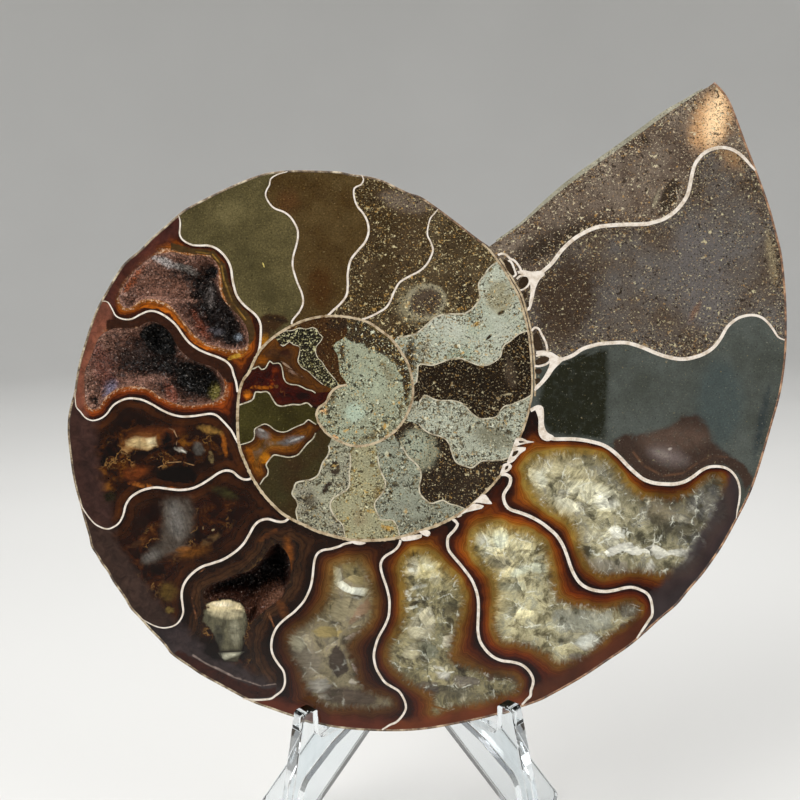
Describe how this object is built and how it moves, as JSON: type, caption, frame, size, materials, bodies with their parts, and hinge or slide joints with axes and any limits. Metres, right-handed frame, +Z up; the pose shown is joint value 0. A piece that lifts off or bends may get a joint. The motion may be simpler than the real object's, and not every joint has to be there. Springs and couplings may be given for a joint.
{
  "type": "ammonite fossil half on a display easel",
  "caption": "Cut and polished half of an ammonite with crystal-filled chambers, leaning in the hooks of a clear crossed-plate easel.",
  "frame": {"origin": "middle of the whole object's footprint box, on the surface that the easel's feet stand on", "axes": "+Z up, -Y the way the polished face looks, +X to the right as seen from the front"},
  "size_m": [0.144, 0.0726, 0.1815],
  "materials": {
    "fossil": "cut face ground flat and polished, back left as natural shell",
    "clear_acrylic": "clear, flame-polished edges"
  },
  "bodies": {
    "root": {"ammonite_half": "fossil", "easel_plate_left": "clear_acrylic", "easel_plate_right": "clear_acrylic"}
  },
  "joints": []
}
